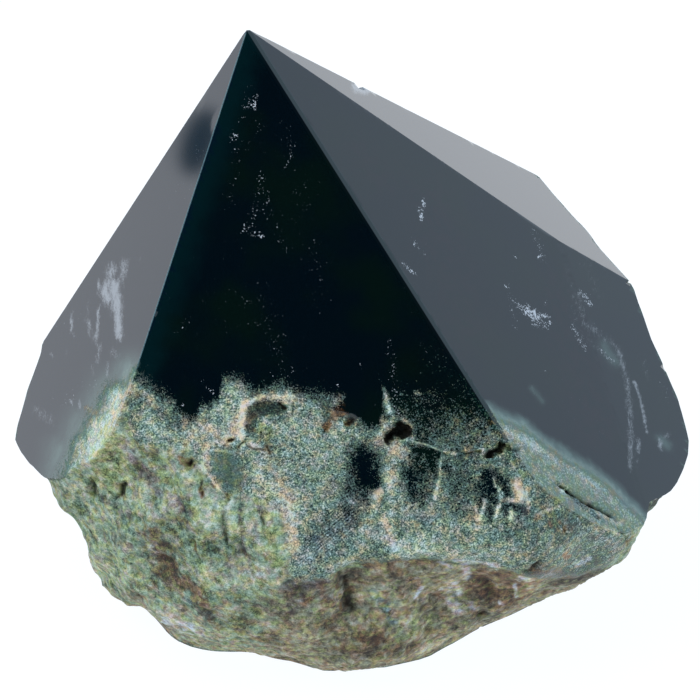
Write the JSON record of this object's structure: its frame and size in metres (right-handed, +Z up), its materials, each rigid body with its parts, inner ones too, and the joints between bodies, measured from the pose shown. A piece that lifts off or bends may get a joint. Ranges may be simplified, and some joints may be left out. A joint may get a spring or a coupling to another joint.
{
  "type": "bloodstone point",
  "caption": "Free-standing stone point: a natural boulder with a rough rind round its foot, sawn flat underneath and ground to a pointed crown of flat polished faces.",
  "frame": {"origin": "middle of the bounding box, on the sawn base that the stone stands on", "axes": "+Z up to the point, -Y towards the show side, +X to the right of it and along the longest extent"},
  "size_m": [0.1102, 0.1024, 0.1009],
  "materials": {
    "bloodstone": "polished dark green-black on the ground faces, fading to matt greenish-white granular stone and a mossy green and brown rind"
  },
  "bodies": {
    "root": {"bloodstone_point": "bloodstone"}
  },
  "joints": []
}
